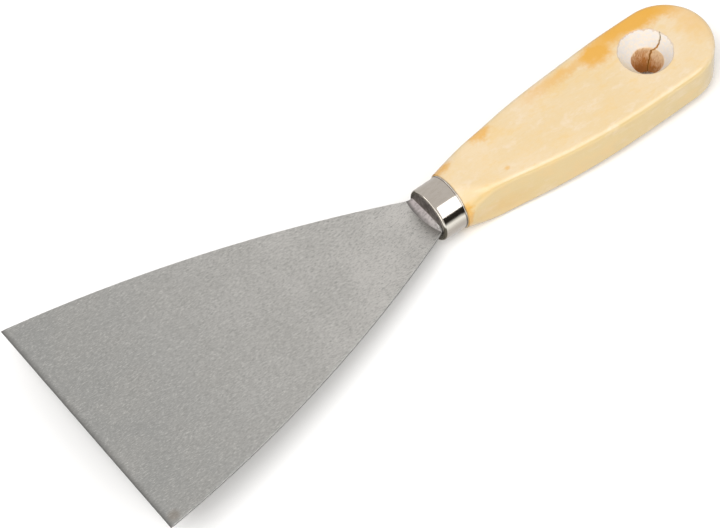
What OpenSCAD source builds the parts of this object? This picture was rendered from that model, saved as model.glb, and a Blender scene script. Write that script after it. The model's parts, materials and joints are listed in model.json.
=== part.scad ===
// Flexible putty knife: a ground spring-steel blade, a drawn ferrule and a flat wooden handle.
// Millimetres. +X runs along the knife towards the working edge, +Y to the side, +Z up.
// The origin is under the middle of the knife, at the level of its lowest point.
// The blade is one strip of steel. It is drawn as a leaf and a neck that meet at a hinge line,
// because a sprung hinge there stands for the bending of the leaf.
// The blade is set at a small angle to the line of the handle.

/* [Blade] */
// Width of the working edge
blade_w = 80; // [60:1:90]
// Length of steel that stands out of the ferrule
blade_len = 117.5; // [100:0.5:130]
// Radius of the bowed sides in plan
side_r = 450; // [350:10:800]
// Thickness of the leaf where it leaves the neck
leaf_t = 0.9; // [0.8:0.05:1.1]
// Thickness of the leaf just behind the bevel
tip_t = 0.65; // [0.5:0.05:0.75]
// Thickness of the working edge itself
edge_t = 0.25; // [0.2:0.05:0.4]
// Length of the bevel along the working edge
bevel_len = 1.2; // [0.8:0.1:2]
// Distance of the flexing line from the ferrule
flex_x = 6; // [5.5:0.1:8]
// Angle at which the blade rises from the line of the handle
set_angle = 4; // [0:0.1:4]

/* [Neck and tang] */
// Width of the neck where it enters the ferrule
neck_w = 13.8; // [12:0.1:14]
// Thickness of the unground neck and tang
neck_t = 3; // [2:0.1:3.2]
// Reach of the hollow-ground plunge in front of the ferrule
plunge_x = 3.5; // [2.5:0.1:4.5]
// Radius of the plunge in plan, at the face of the leaf
plunge_r = 12; // [11:0.5:16]
// Length of the slope from the leaf up to the neck
plunge_run = 3; // [2:0.1:3.5]
// Length of tang inside the handle, behind the ferrule
tang_len = 38; // [25:1:45]
// Width of the tang behind the neck
tang_w = 11; // [9:0.5:12]
// Width of the tang at its rear end
tang_end_w = 7; // [5:0.5:8]
// Number of pairs of barbs cut in the tang's edges
barbs = 4; // [2:1:5]

/* [Ferrule] */
// Outer radius
ferrule_r = 8.3; // [8:0.05:8.4]
// Length
ferrule_len = 8.2; // [7:0.1:12]
// Thickness of the drawn sheet
ferrule_t = 0.6; // [0.4:0.1:0.8]
// Outer radius of the rounded front edge
ferrule_fillet = 1.5; // [1.2:0.1:2.4]
// Radius of the bead rolled on the rear edge
bead_r = 0.4; // [0.3:0.05:0.5]

/* [Handle] */
// Length of wood behind the ferrule
grip_len = 94; // [85:1:110]
// Half width at the widest place
grip_half_w = 14.5; // [13:0.1:16]
// Distance of the widest place from the ferrule
wide_s = 74; // [66:1:76]
// Radius of the flanks in plan
flank_r = 420; // [380:10:600]
// Radius of the round shoulder behind the ferrule
shoulder_r = 8.6; // [8.5:0.05:9]
// Half thickness at the butt
butt_half_t = 6.8; // [6:0.1:7.5]
// Radius of the rounded edges
edge_r = 2.2; // [1.5:0.1:3]
// Length over which the round shoulder turns into the flat grip
shoulder_len = 15; // [10:1:20]

/* [Hanging hole] */
// Distance of the hole from the ferrule
hole_s = 73; // [68:0.5:76]
// Radius of the hole
hole_r = 4.75; // [4:0.05:5]
// Radius of the countersink at the upper face
sink_r = 8.1; // [7:0.1:8.4]

/* [Hidden] */

arc_fn = 96;
flank_steps = 22;
end_steps = 26;
edge_steps = 5;
flex_gap = 0.05;
slot_gap = 0.05;
barb_depth = 0.6;
over = 1;

// The strip is bent in the ferrule's slot, and the full-width neck ends just behind the slot
bend_x = -ferrule_t / 2;
neck_back = ferrule_t + 0.6;

front_x = bent(blade_len, -edge_t / 2)[0];
butt_x = -ferrule_len - grip_len;
mid_x = (front_x + butt_x) / 2;

// Centre of the arc that bows one side of the blade, through the neck corner and the tip corner
side_dx = blade_len;
side_dy = (blade_w - neck_w) / 2;
side_chord = sqrt(side_dx * side_dx + side_dy * side_dy);
side_drop = sqrt(side_r * side_r - side_chord * side_chord / 4);
side_cx = side_dx / 2 + side_drop * side_dy / side_chord;
side_cy = neck_w / 2 + side_dy / 2 - side_drop * side_dx / side_chord;

// Round end of the grip, tangent to both flanks
end_reach = grip_len - wide_s;
flank_drop = flank_r - grip_half_w;
end_r = (flank_r * flank_r - flank_drop * flank_drop - end_reach * end_reach)
      / (2 * (flank_r - end_reach));
end_s = grip_len - end_r;
end_angle = asin((end_s - wide_s) / (flank_r - end_r));
flank_end_s = end_s + end_r * sin(end_angle);

hole_half_t = half_t(hole_s);
sink_depth = sink_r - hole_r;

// Where a point of the straight strip goes, in side view, when the blade is bent up
function bent(x, z) = [
    bend_x + (x - bend_x) * cos(set_angle) - z * sin(set_angle),
    z * cos(set_angle) + (x - bend_x) * sin(set_angle)
];

// Outline of the blade in plan, from x0 to x1
module blade_plan(x0, x1) {
    intersection() {
        translate([side_cx, side_cy]) circle(r = side_r, $fn = 720);
        translate([side_cx, -side_cy]) circle(r = side_r, $fn = 720);
        translate([x0, -blade_w]) square([x1 - x0, 2 * blade_w]);
    }
}

// A cylinder along Y on the flexing line
module flex_rod(r) {
    translate([flex_x, blade_w / 2, 0]) rotate([90, 0, 0]) cylinder(r = r, h = blade_w, $fn = 48);
}

// The thickness of the leaf seen from the side: a long taper and a short bevel
module leaf_side() {
    bevel_x = blade_len - bevel_len;
    rotate([90, 0, 0]) linear_extrude(height = blade_w + 2 * over, center = true)
        polygon([
            [flex_x, -leaf_t / 2],
            [bevel_x, -tip_t / 2],
            [blade_len, -edge_t / 2],
            [blade_len, edge_t / 2],
            [bevel_x, tip_t / 2],
            [flex_x, leaf_t / 2]
        ]);
}

module blade_shape() {
    intersection() {
        linear_extrude(height = 4 * leaf_t, center = true) blade_plan(flex_x - leaf_t, blade_len);
        union() {
            leaf_side();
            flex_rod(leaf_t / 2);
        }
    }
}

// One face of the hollow-ground plunge: the full neck, cut back to a cone
module plunge_pad() {
    rise = (neck_t - leaf_t) / 2;
    intersection() {
        translate([plunge_x - plunge_r, 0, leaf_t / 2])
            cylinder(r1 = plunge_r, r2 = plunge_r - plunge_run, h = rise, $fn = arc_fn);
        translate([0, -neck_w / 2, 0]) cube([plunge_x + over, neck_w, neck_t]);
    }
}

// The bent stretch of the neck, in the ferrule's slot
module neck_bend() {
    top = neck_t / 2;
    mitre = top * tan(set_angle / 2);
    rotate([90, 0, 0]) linear_extrude(height = neck_w, center = true)
        polygon([
            [-neck_back, -top],
            [bend_x + mitre, -top],
            bent(0, -top),
            bent(0, top),
            [bend_x - mitre, top],
            [-neck_back, top]
        ]);
}

// Plan of the tang behind the neck; barb_cut takes away the notches
module tang_plan(barb_cut) {
    tang_x = neck_back + (neck_w - tang_w) / 2;
    end_x = ferrule_len + tang_len;
    pitch = (end_x - ferrule_len) / (barbs + 1);
    difference() {
        polygon([
            [-neck_back, neck_w / 2],
            [-tang_x, tang_w / 2],
            [-end_x, tang_end_w / 2],
            [-end_x, -tang_end_w / 2],
            [-tang_x, -tang_w / 2],
            [-neck_back, -neck_w / 2]
        ]);
        if (barb_cut)
            for (i = [1:barbs], side = [-1, 1])
                barb_notch(ferrule_len + i * pitch, side, tang_x, end_x);
    }
}

// A notch with a steep rear face, which leaves a barb that grips the wood
module barb_notch(s, side, tang_x, end_x) {
    half = tang_w / 2 + (tang_end_w - tang_w) / 2 * (s - tang_x) / (end_x - tang_x);
    polygon([
        [-s, side * (half - barb_depth)],
        [-s, side * (half + over)],
        [-s + 3, side * (half + over)]
    ]);
}

// Turns a shape up with the blade
module lean() {
    translate([bend_x, 0, 0]) rotate([0, -set_angle, 0]) translate([-bend_x, 0, 0]) children();
}

module neck_and_tang_shape() {
    lean() {
        difference() {
            linear_extrude(height = leaf_t, center = true) blade_plan(0, flex_x);
            flex_rod(leaf_t / 2 + flex_gap);
        }
        plunge_pad();
        mirror([0, 0, 1]) plunge_pad();
    }
    neck_bend();
    linear_extrude(height = neck_t, center = true) tang_plan(true);
}

// Half profile of a cup: radius r, length l, front corner rounded
module cup_profile(r, l, fillet) {
    square([r - fillet, l]);
    square([r, l - fillet]);
    translate([r - fillet, l - fillet]) circle(r = fillet, $fn = 48);
}

module ferrule_shape() {
    difference() {
        translate([-ferrule_len, 0, 0]) rotate([0, 90, 0]) rotate_extrude($fn = arc_fn) {
            difference() {
                cup_profile(ferrule_r, ferrule_len, ferrule_fillet);
                translate([0, -over])
                    cup_profile(ferrule_r - ferrule_t, ferrule_len - ferrule_t + over,
                                ferrule_fillet - ferrule_t);
            }
            translate([ferrule_r - bead_r / 2, bead_r]) circle(r = bead_r, $fn = 24);
        }
        cube([4 * ferrule_t, neck_w + 2 * slot_gap, neck_t + 2 * slot_gap], center = true);
    }
}

// Shape of the grip as functions of s, the distance behind the ferrule
function ease(t) = let (u = min(max(t, 0), 1)) u * u * (3 - 2 * u);
function flank_w(s) = sqrt(flank_r * flank_r - (s - wide_s) * (s - wide_s)) - flank_drop;
function half_w(s) = flank_w(s) + (shoulder_r - flank_w(0)) * (1 - ease(s / shoulder_len));
function half_t(s) = shoulder_r + (butt_half_t - shoulder_r) * s / grip_len;
function round_r(s) = edge_r + (shoulder_r - 0.2 - edge_r) * (1 - ease(s / shoulder_len));

// Stations along one flank and half of the round end: [s, half width, normal along s, normal along y]
flank_stations = [
    for (i = [0:flank_steps])
        let (s = flank_end_s * i / flank_steps)
        [s, half_w(s), 0, 1]
];
end_stations = [
    for (i = [1:end_steps])
        let (a = end_angle + (180 - 2 * end_angle) * i / end_steps)
        [end_s + end_r * sin(a), end_r * cos(a), sin(a), cos(a)]
];
back_stations = [
    for (i = [flank_steps - 1:-1:0])
        let (s = flank_end_s * i / flank_steps)
        [s, -half_w(s), 0, -1]
];
stations = concat(flank_stations, end_stations, back_stations);
ring_len = 2 * (edge_steps + 1);
station_count = len(stations);

// One point of the rounded edge at a station; j runs from the bottom face to the top face
function edge_point(st, j) =
    let (
        s = st[0],
        r = round_r(s),
        up = j > edge_steps ? 1 : -1,
        a = up > 0 ? 90 * (j - edge_steps - 1) / edge_steps : 90 * (j - edge_steps) / edge_steps,
        inset = r - r * cos(a)
    )
    [
        -(s - st[2] * inset),
        st[1] - st[3] * inset,
        up * (half_t(s) - r) + r * sin(a)
    ];

grip_points = [for (st = stations) for (j = [0:ring_len - 1]) edge_point(st, j)];
function corner(i, j) = i * ring_len + j;
last = station_count - 1;
half_count = (station_count - 1) / 2;

grip_faces = concat(
    [
        for (i = [0:last - 1]) for (j = [0:ring_len - 2])
            [corner(i, j), corner(i, j + 1), corner(i + 1, j + 1), corner(i + 1, j)]
    ],
    [
        for (i = [0:half_count - 1])
            let (a = corner(i, ring_len - 1), b = corner(i + 1, ring_len - 1),
                 c = corner(last - i - 1, ring_len - 1), d = corner(last - i, ring_len - 1))
            (b == c) ? [a, d, b] : [a, d, c, b]
    ],
    [
        for (i = [0:half_count - 1])
            let (a = corner(i, 0), b = corner(i + 1, 0), c = corner(last - i - 1, 0), d = corner(last - i, 0))
            (b == c) ? [a, b, d] : [a, b, c, d]
    ],
    [concat([for (j = [0:ring_len - 1]) corner(last, j)], [for (j = [ring_len - 1:-1:0]) corner(0, j)])]
);

module grip_solid() {
    translate([-ferrule_len, 0, 0]) polyhedron(points = grip_points, faces = grip_faces, convexity = 4);
}

// The turned tenon that the ferrule is pressed over
module tenon() {
    r = ferrule_r - ferrule_t;
    nose = ferrule_fillet - ferrule_t;
    front_x = -ferrule_t;
    translate([-ferrule_len - over, 0, 0]) rotate([0, 90, 0])
        cylinder(r = r, h = ferrule_len + over - ferrule_t - nose, $fn = arc_fn);
    translate([front_x - nose, 0, 0]) rotate([0, 90, 0])
        cylinder(r1 = r, r2 = r - nose, h = nose, $fn = arc_fn);
}

module countersink() {
    translate([0, 0, hole_half_t - sink_depth])
        cylinder(r1 = hole_r, r2 = sink_r + over, h = sink_depth + over, $fn = arc_fn);
}

module handle_shape() {
    difference() {
        union() {
            grip_solid();
            tenon();
        }
        neck_bend();
        linear_extrude(height = neck_t, center = true) tang_plan(false);
        translate([-ferrule_len - hole_s, 0, 0]) {
            cylinder(r = hole_r, h = 4 * shoulder_r, center = true, $fn = arc_fn);
            countersink();
        }
    }
}

// Puts a shape that was drawn about the ferrule's front face into the knife's own frame
module place() {
    translate([-mid_x, 0, shoulder_r]) children();
}

module blade() {
    color("lightsteelblue") place() lean() blade_shape();
}

module neck_and_tang() {
    color("slategray") place() neck_and_tang_shape();
}

module ferrule() {
    color("silver") place() ferrule_shape();
}

module handle() {
    color("burlywood") place() handle_shape();
}

blade();
neck_and_tang();
ferrule();
handle();
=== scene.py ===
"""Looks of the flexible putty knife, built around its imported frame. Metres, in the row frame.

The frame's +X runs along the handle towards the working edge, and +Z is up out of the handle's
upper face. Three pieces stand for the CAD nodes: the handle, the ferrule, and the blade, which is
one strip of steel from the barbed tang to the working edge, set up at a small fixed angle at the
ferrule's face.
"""
import json
import math

import bmesh
import bpy
import numpy as np
from mathutils import Matrix, Vector, noise


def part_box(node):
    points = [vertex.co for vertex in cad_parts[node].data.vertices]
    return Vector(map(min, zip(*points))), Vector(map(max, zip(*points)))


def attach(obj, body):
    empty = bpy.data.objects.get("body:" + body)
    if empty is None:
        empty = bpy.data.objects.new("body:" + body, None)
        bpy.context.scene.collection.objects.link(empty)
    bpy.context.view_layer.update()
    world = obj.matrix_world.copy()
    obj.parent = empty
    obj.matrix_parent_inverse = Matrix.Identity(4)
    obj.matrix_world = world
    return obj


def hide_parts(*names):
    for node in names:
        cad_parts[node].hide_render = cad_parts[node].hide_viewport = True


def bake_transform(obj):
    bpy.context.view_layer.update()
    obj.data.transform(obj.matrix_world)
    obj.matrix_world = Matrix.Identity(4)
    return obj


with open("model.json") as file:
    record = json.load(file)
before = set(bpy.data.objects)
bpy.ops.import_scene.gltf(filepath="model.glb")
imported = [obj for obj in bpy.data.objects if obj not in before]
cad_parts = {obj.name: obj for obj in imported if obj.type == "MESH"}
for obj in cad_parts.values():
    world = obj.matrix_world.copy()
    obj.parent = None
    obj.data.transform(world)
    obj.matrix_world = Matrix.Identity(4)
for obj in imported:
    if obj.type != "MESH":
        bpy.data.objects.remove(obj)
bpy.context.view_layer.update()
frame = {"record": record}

MM = 0.001

# Places and sizes that the frame gives
handle_low, handle_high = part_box("handle")
ferrule_low, ferrule_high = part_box("ferrule")
leaf_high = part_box("blade")[1]
mounts = {m["name"]: m for m in frame["record"]["mounts"]}

mid_z = (handle_low.z + handle_high.z) / 2
face_x = ferrule_high.x
rear_x = ferrule_low.x
grip_len = rear_x - handle_low.x
shoulder_r = (handle_high.z - handle_low.z) / 2
grip_half_w = handle_high.y
hole_s = rear_x - mounts["hanging_hole"]["pos_m"][0]
hole_r = mounts["hanging_hole"]["dims"]["r_mm"] * MM

# Sizes of the handle that its box doesn't give. Its s runs back from the ferrule's rear edge
BUTT_HALF_T = 6.8 * MM
WIDE_S = 74 * MM
FLANK_R = 420 * MM
SHOULDER_LEN = 20 * MM
SHOULDER_EXTRA = 0.9 * MM
WAIST = 0.8 * MM
EDGE_R = 1.9 * MM
CORNER_LEN = 13 * MM
FRONT_ROUND = 0.35 * MM
CROWN = 0.25 * MM

# How the wood was worked by hand and has moved since
SANDING = 0.55 * MM
SANDING_SPREAD = 0.021
BOW = 0.6 * MM
BOW_START = 42 * MM
BOW_LEN = 36 * MM
WAVE_DEPTH = 0.07 * MM

# Sizes of the hanging hole. Its countersink and its bore lean to different sides
SINK_R = 8.1 * MM
SINK_DEPTH = 3.7 * MM
SINK_LEAN = -0.95 * MM
BORE_LEAN_X = 0.6 * MM
BORE_LEAN_Y = 0.9 * MM
BORE_TAPER = 0.5 * MM

# The crack beside the hole: depth below the upper face in millimetres, and bearing in degrees from +X
# towards -Y. The mesh is dense from CRACK_LOW to CRACK_HIGH
CRACK_PATH = [
    (0, 160), (1.1, 166), (2.2, 165), (3.2, 162), (3.9, 154),
    (4.8, 145), (7.7, 138), (10.6, 133), (14.4, 130),
]
CRACK_LOW = math.radians(124)
CRACK_HIGH = math.radians(173)
CRACK_HALF_W = 0.15 * MM
CRACK_DEPTH = 0.5 * MM
CRACK_STAIN = 0.6 * MM

# Sizes of the ferrule
FERRULE_R = 8.3 * MM
SHEET_T = 0.6 * MM
FILLET = 0.95 * MM
BEAD_R = 0.24 * MM
LIP_RISE = 0.25 * MM
FLARE_LEN = 1.7 * MM
FLARE_RISE = 0.11 * MM
GROOVE_X = 0.5 * MM
SLOT_GAP = 0.05 * MM
SLOT_DIP = 0.12 * MM

# Sizes of the blade, in its own straight frame: x from the ferrule's face, z from the mid-plane
SET_ANGLE = math.radians(4)
BEND_X = -SHEET_T / 2
BLADE_LEN = 117.5 * MM
SIDE_R = 450 * MM
LEAF_T = 0.9 * MM
TIP_T = 0.65 * MM
EDGE_T = 0.25 * MM
BEVEL_LEN = 1.2 * MM
FLEX_X = 6 * MM
NECK_W = 13.8 * MM
NECK_T = 3 * MM
PLUNGE_LONG = 2.35 * MM
PLUNGE_SHORT = 0.35 * MM
PLUNGE_PEAK_Y = -2.3 * MM
TANG_LEN = 38 * MM
TANG_W = 11 * MM
TANG_END_W = 7 * MM
BARBS = 4
BARB_LEN = 3 * MM
BARB_DEPTH = 0.6 * MM
EDGE_BREAK = 0.06 * MM
blade_half_w = leaf_high.y

# The photograph's viewpoint: a long lens from far off, so the view is nearly parallel
CAMERA_LENS = 178.2
CAMERA_AIM = Vector((16.921, 0.636, 8.6)) * MM
CAMERA_DISTANCE = 994.975 * MM
CAMERA_AZIMUTH = math.radians(146.965)
CAMERA_ELEVATION = math.radians(55.926)
CAMERA_ROLL = math.radians(-5.497)

# Half the side of the square floor, in metres
FLOOR_HALF = 3.0


# ---------------------------------------------------------------- small helpers

def ease(t):
    """Smooth step from 0 to 1."""
    t = min(max(t, 0.0), 1.0)
    return t * t * (3 - 2 * t)


def spread(low, high, count):
    """count + 1 even values from low to high."""
    return [low + (high - low) * i / count for i in range(count + 1)]


def turns(low, high, count):
    """count + 1 even angles from low to high, given in degrees, in radians."""
    return [math.radians(a) for a in spread(low, high, count)]


class Shell:
    """Collects vertices and faces, and turns them into a smooth-shaded piece."""

    def __init__(self):
        self.points = []
        self.faces = []

    def row(self, points):
        """Adds points and returns their numbers."""
        first = len(self.points)
        self.points.extend(Vector(p) for p in points)
        return list(range(first, first + len(points)))

    def skin(self, a, b, closed):
        """Quads between two rows of the same length."""
        n = len(a)
        for i in range(n if closed else n - 1):
            j = (i + 1) % n
            self.faces.append((a[i], a[j], b[j], b[i]))

    def loft(self, rows, closed=False):
        """Skins each row to the next."""
        for a, b in zip(rows, rows[1:]):
            self.skin(a, b, closed)

    def piece(self, name, sharp_angle):
        """The finished object. Edges sharper than sharp_angle, in degrees, stay crisp."""
        mesh = bpy.data.meshes.new(name)
        mesh.from_pydata(self.points, [], self.faces)
        bm = bmesh.new()
        bm.from_mesh(mesh)
        bmesh.ops.remove_doubles(bm, verts=bm.verts, dist=1e-7)
        bmesh.ops.recalc_face_normals(bm, faces=bm.faces)
        bm.to_mesh(mesh)
        bm.free()
        mesh.polygons.foreach_set("use_smooth", [True] * len(mesh.polygons))
        mesh.set_sharp_from_angle(angle=math.radians(sharp_angle))
        obj = bpy.data.objects.new(name, mesh)
        bpy.context.scene.collection.objects.link(obj)
        return obj


# ---------------------------------------------------------------- handle

flank_drop = FLANK_R - grip_half_w
end_reach = grip_len - WIDE_S
end_r = (FLANK_R**2 - flank_drop**2 - end_reach**2) / (2 * (FLANK_R - end_reach))
end_s = grip_len - end_r
end_angle = math.asin((end_s - WIDE_S) / (FLANK_R - end_r))
flank_end_s = end_s + end_r * math.sin(end_angle)
# Up to here the rows run across the grip, and past it they run round the hole
blend_s = hole_s - 14 * MM


def flank_half_w(s):
    """Half width of the long flank, which is one arc."""
    return math.sqrt(FLANK_R**2 - (s - WIDE_S) ** 2) - flank_drop


def half_w(s):
    """Half width: full at the ferrule, a little waisted behind the shoulder, then the long flank."""
    full = SHOULDER_EXTRA * max(0, 1 - s / SHOULDER_LEN) ** 2
    waist = WAIST * math.sin(math.pi * math.sqrt(min(s / (2 * SHOULDER_LEN), 1))) ** 2
    return flank_half_w(s) + full - waist


def sanded(s):
    """Where the faces were sanded thinner: none at the ends, most past the middle."""
    return math.sin(math.pi * min(max(s / grip_len, 0), 1) ** 1.5)


def half_t(s):
    """Half thickness along the middle: a wedge from the shoulder to the butt, less the sanding."""
    return shoulder_r + (BUTT_HALF_T - shoulder_r) * s / grip_len - SANDING * sanded(s)


def round_r(s):
    """Radius of the long edges, nearly round at the ferrule and small along the grip."""
    return EDGE_R + (shoulder_r - 0.2 * MM - EDGE_R) * max(0, 1 - s / CORNER_LEN) ** 2


def bow(s):
    """How far the wood has bowed towards -Y."""
    return BOW * ease((s - BOW_START) / BOW_LEN)


def face_z(s, y):
    """Height of the handle's upper face above the mid-plane: a wedge with a slight crown."""
    return half_t(s) - CROWN * ease((s - 8 * MM) / (16 * MM)) * (y / grip_half_w) ** 2


def grip_point(s, y, z):
    return Vector((rear_x - s, y, mid_z + z))


def edge_column(s, y, ns, ny, corner_steps=10, side_steps=12):
    """Points down the edge at one place of the outline, whose normal is (ns, ny), from face to face."""
    r = round_r(s)
    top = face_z(s - ns * r, y - ny * r)
    upper = [(r - r * math.cos(a), top - r + r * math.sin(a)) for a in turns(90, 0, corner_steps)]
    side_top = upper[-1][1]
    side = [(0, z) for z in spread(side_top, -side_top, side_steps)[1:-1]]
    lower = [(inset, -z) for inset, z in reversed(upper)]
    return [grip_point(s - ns * i, y - ny * i, z) for i, z in upper + side + lower]


def flank_stations():
    """Distances behind the ferrule of the rows across the grip, closer together at the shoulder."""
    dense = 2 * MM
    shoulder = [dense * (i / 6) ** 1.5 for i in range(6)]
    return shoulder + spread(dense, blend_s, 92)


def end_outline(samples=4000):
    """The outline round the hole, from flank to flank, as rows of s, y and the normal's s and y."""
    flank = [(s, half_w(s), 0.0, 1.0) for s in spread(blend_s, flank_end_s, samples // 4)]
    arc = [
        (end_s + end_r * math.sin(a), end_r * math.cos(a), math.sin(a), math.cos(a))
        for a in spread(end_angle, math.pi - end_angle, samples // 2)
    ]
    back = [(s, -y, ns, -ny) for s, y, ns, ny in reversed(flank)]
    return np.array(flank[:-1] + arc + back[1:])


def crack_bearing(depth):
    """Bearing of the crack, wandering from grain to grain as it goes down."""
    path = [(d * MM, math.radians(a)) for d, a in CRACK_PATH]
    centre = float(np.interp(depth, [d for d, _ in path], [a for _, a in path]))
    slow = noise.noise(Vector((depth * 700, 3.1, 0)))
    quick = noise.noise(Vector((depth * 2400, 7.7, 0)))
    return 2 * math.pi - centre + (0.05 * slow + 0.03 * quick)


def bearing(s, y):
    """Angle of a place round the hole's axis, 0 towards the blade, positive towards +Y."""
    return math.atan2(y, hole_s - s)


def end_bearings():
    """Bearings of the columns round the end, every 2 degrees, and much closer together at the crack."""
    first = bearing(blend_s, half_w(blend_s))
    coarse = [math.radians(a) for a in range(math.ceil(math.degrees(first)) + 1, 360, 2)]
    last = 2 * math.pi - first
    low = 2 * math.pi - CRACK_HIGH
    high = 2 * math.pi - CRACK_LOW
    fine = spread(low, high, 200)
    kept = [a for a in coarse if a < last - 0.01 and not low < a < high]
    return [first] + sorted(kept + fine) + [last]


def end_stations():
    """The outline's rows at the bearings of the columns."""
    outline = end_outline()
    angles = np.unwrap([bearing(s, y) for s, y, _, _ in outline])
    wanted = end_bearings()
    return [[float(np.interp(a, angles, outline[:, k])) for k in range(4)] for a in wanted]


def crack_offset(angle, depth):
    """Distance from the crack's line, at a bearing and a depth below the upper face."""
    wall_r = max(hole_r, SINK_R - depth * (SINK_R - hole_r) / SINK_DEPTH)
    return abs((angle - crack_bearing(depth)) * wall_r)


def crack_cut(angle, depth):
    """Share of the crack's depth that is cut there: 1 on its line and 0 at its lips."""
    width = CRACK_HALF_W * (1.1 + 0.6 * noise.noise(Vector((depth * 1500, 0, 5.2))))
    return max(0.0, 1 - crack_offset(angle, depth) / width) ** 0.7


def upper_profile():
    """Radius and depth from the upper face to the mid-plane: rounded rim, countersink, mouth, bore."""
    rim = 0.25 * MM
    points = [(SINK_R + margin, 0) for margin in (1.2 * MM, 0.6 * MM, rim)]
    points += [(SINK_R + rim * (1 - math.sin(a)) * 0.7, rim * (1 - math.cos(a)) * 0.7)
               for a in turns(15, 60, 3)]
    slope = (SINK_R - hole_r) / SINK_DEPTH
    points += [(SINK_R - d * slope, d) for d in spread(0.15 * MM, SINK_DEPTH - 0.12 * MM, 16)]
    points += [(hole_r + 0.04 * MM, SINK_DEPTH - 0.02 * MM), (hole_r, SINK_DEPTH + 0.08 * MM)]
    return points + [(hole_r, d) for d in spread(SINK_DEPTH + 0.25 * MM, half_t(hole_s), 14)]


def lower_profile():
    """Radius and depth from the lower face to the mid-plane: a plain mouth with its edge broken."""
    rim = 0.3 * MM
    points = [(hole_r + margin, 0) for margin in (3 * MM, 1.2 * MM, rim)]
    points += [(hole_r + rim * (1 - math.sin(a)), rim * (1 - math.cos(a)))
               for a in turns(15, 90, 5)]
    return points + [(hole_r, d) for d in spread(0.6 * MM, half_t(hole_s), 18)]


def hole_centre(z):
    """Centre of the hole, as s and y, at a height above the mid-plane. The drill leaned in the hand."""
    depth = half_t(hole_s) - z
    high = max(0, 1 - max(depth, 0) / SINK_DEPTH)
    low = min(max((depth - SINK_DEPTH) / (2 * half_t(hole_s) - SINK_DEPTH), 0), 1)
    return hole_s - BORE_LEAN_X * low, SINK_LEAN * high + BORE_LEAN_Y * low


def hole_point(angle, radius, depth, upper):
    """A point of the hole's wall, at a depth below the nearer face. The wall isn't quite round."""
    middle = half_t(hole_s)
    z = middle - depth if upper else depth - middle
    if depth > 0:
        local = Vector((math.cos(angle) * 2, math.sin(angle) * 2, z * 400))
        clear = ease(depth / (0.5 * MM))
        radius += clear * (0.10 * MM * noise.noise(local) + 0.05 * MM * noise.noise(local * 3.1))
        # The bore narrows on its way down
        radius -= BORE_TAPER * ease((2 * MM - z) / (6 * MM)) * ease(depth / (0.3 * MM))
    if depth > 0.05 * MM or not upper:
        share = min(max((middle - z) / (2 * middle), 0), 1)
        cut = CRACK_DEPTH * (1 - 0.4 * share) * crack_cut(angle, middle - z)
        radius += cut * ease(depth / (0.3 * MM))
    centre_s, centre_y = hole_centre(z)
    s = centre_s - radius * math.cos(angle)
    y = centre_y + radius * math.sin(angle)
    # The faces slope, and the slope dies away down the hole
    slope = (face_z(s, y) - middle) * (1 - ease(depth / (2 * MM)))
    return grip_point(s, y, z + (slope if upper else -slope))


def grip_row(shell, s, across):
    """One row round the grip: upper face, +Y edge, lower face, -Y edge."""
    right = edge_column(s, half_w(s), 0, 1)
    left = [Vector((p.x, -p.y, p.z)) for p in right]
    flat = half_w(s) - round_r(s)
    top = [grip_point(s, y, face_z(s, y)) for y in spread(-flat, flat, across)[1:-1]]
    bottom = [Vector((p.x, p.y, 2 * mid_z - p.z)) for p in reversed(top)]
    return shell.row(top + right + bottom + list(reversed(left)))


def close_front(shell, first_row):
    """The shoulder's rounded corner, the flat that the ferrule butts against, and the tenon."""
    front = [shell.points[i].copy() for i in first_row]
    centre = Vector((rear_x, 0, mid_z))
    outward = [(p - centre).normalized() for p in front]
    rings = [first_row]
    for a in turns(30, 90, 2):
        step = Vector((FRONT_ROUND * (math.sin(a) - 1), 0, 0))
        inward = FRONT_ROUND * (1 - math.cos(a))
        rings.append(shell.row([p - n * inward + step for p, n in zip(front, outward)]))
    for i, p in zip(first_row, front):
        shell.points[i] = p - Vector((FRONT_ROUND, 0, 0))
    inner_r = FERRULE_R - SHEET_T
    for x, r in (
        (rear_x, inner_r),
        (face_x - 2 * SHEET_T, inner_r),
        (face_x - SHEET_T, inner_r - SHEET_T),
    ):
        rings.append(shell.row([Vector((x, 0, mid_z)) + n * r for n in outward]))
    shell.loft(rings, closed=True)
    nose = rings[-1]
    hub = shell.row([Vector((face_x - SHEET_T, 0, mid_z))])[0]
    for i in range(len(nose)):
        shell.faces.append((nose[i], nose[(i + 1) % len(nose)], hub))


def close_end(shell, last_row, across):
    """The edge round the end, column by column. Its two outer columns are the last row's own edges."""
    columns = [edge_column(*station) for station in end_stations()]
    first = last_row[across - 1:across - 1 + len(columns[0])]
    columns[0] = [shell.points[i] for i in first]
    columns[-1] = [Vector((p.x, -p.y, p.z)) for p in columns[0]]
    shell.loft([shell.row(c) for c in columns])
    return columns


def pierce_face(shell, columns, across, upper):
    """One face of the end, from its outline in to the hole, and the hole's wall to the mid-plane."""
    side = 1 if upper else -1
    flat = half_w(blend_s) - round_r(blend_s)
    chord = [grip_point(blend_s, y, side * face_z(blend_s, y))
             for y in spread(-flat, flat, across)[1:-1]]
    loop = [c[0] if upper else c[-1] for c in columns] + chord
    angles = end_bearings() + [math.atan2(p.y, p.x - (rear_x - hole_s)) for p in chord]
    profile = upper_profile() if upper else lower_profile()
    start_r = profile[0][0]
    centre_s, centre_y = hole_centre(side * half_t(hole_s))
    rings = [shell.row(loop)]
    for share in spread(0, 1, 9)[1:-1]:
        ring = []
        for p, a in zip(loop, angles):
            s = (rear_x - p.x) * (1 - share) + (centre_s - start_r * math.cos(a)) * share
            y = p.y * (1 - share) + (centre_y + start_r * math.sin(a)) * share
            ring.append(grip_point(s, y, side * face_z(s, y)))
        rings.append(shell.row(ring))
    for radius, depth in profile:
        rings.append(shell.row([hole_point(a, radius, depth, upper) for a in angles]))
    shell.loft(rings, closed=True)


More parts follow.
